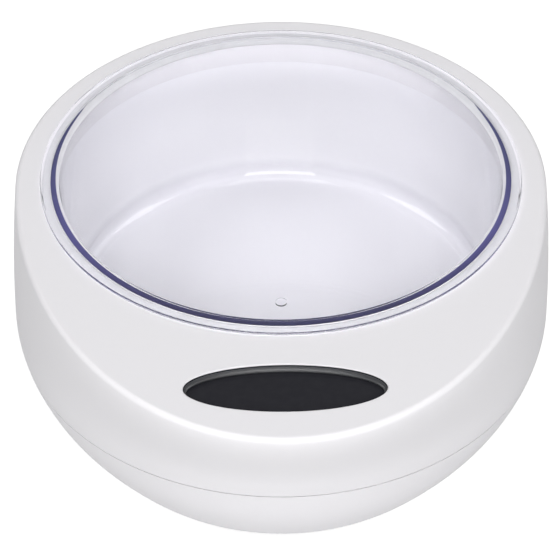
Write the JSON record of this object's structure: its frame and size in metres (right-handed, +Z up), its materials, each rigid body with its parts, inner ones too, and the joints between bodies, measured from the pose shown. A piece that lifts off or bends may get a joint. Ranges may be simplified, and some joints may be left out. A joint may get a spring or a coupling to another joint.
{
  "type": "wax warmer pot",
  "caption": "Countertop wax warmer: egg-shaped white housing with an oval display window in its deck and a round clear lift-out bowl in a heated well.",
  "frame": {"origin": "centre of the housing's box on the surface that the feet stand on", "axes": "+Z up along the bowl axis, -Y towards the display window at the front, +X to the right as seen from the front"},
  "size_m": [0.2078, 0.251, 0.1304],
  "materials": {
    "white_plastic": "satin moulded white ABS",
    "clear_plastic": "clear polished plastic",
    "dark_plastic": "dark grey moulded plastic",
    "smoked_lens": "smoked gloss window",
    "silicone": "soft translucent silicone",
    "black_rubber": "moulded rubber",
    "coated_aluminium": "white coated aluminium",
    "steel": "zinc plated steel",
    "mica": "mica board",
    "felt": "ceramic fibre felt",
    "brass": "plated brass",
    "circuit_board": "green solder mask",
    "component_plastic": "moulded component body",
    "relay_plastic": "blue moulded case",
    "terminal_plastic": "green moulded case",
    "white_wire": "glass sleeve wire",
    "grey_cable": "round flexible cable"
  },
  "bodies": {
    "housing": {"top_housing": "white_plastic", "base_shell": "white_plastic", "rubber_feet": "black_rubber", "bowl_seal": "silicone", "heating_well": "coated_aluminium", "well_screws": "steel", "heater_disc": "mica", "heater_clamp_plate": "steel", "heater_nuts": "steel", "insulation_ring": "felt", "heat_shield": "steel", "spacer_pillars": "steel", "base_screws": "steel", "thermostat": "component_plastic", "thermostat_screws": "steel", "thermal_fuse": "component_plastic", "temperature_sensor": "brass", "device_clips": "steel", "window_bezel": "dark_plastic", "window_lens": "smoked_lens", "window_gasket": "black_rubber", "display_board": "circuit_board", "digit_display": "component_plastic", "touch_pads": "silicone", "display_screws": "steel", "control_board": "circuit_board", "control_screws": "steel", "transformer": "component_plastic", "relay": "relay_plastic", "filter_capacitor": "component_plastic", "terminal_block": "terminal_plastic", "cable_socket": "component_plastic", "power_inlet": "dark_plastic", "inlet_pins": "brass", "mains_leads": "white_wire", "heater_leads": "white_wire", "fuse_lead": "white_wire", "sensor_lead": "white_wire", "display_cable": "grey_cable"},
    "bowl": {"wax_bowl": "clear_plastic"}
  },
  "joints": [
    {"name": "bowl_lift", "type": "slide", "parent": "housing", "child": "bowl", "axis": [0, 0, 1], "range_m": [0, 0.1]}
  ]
}
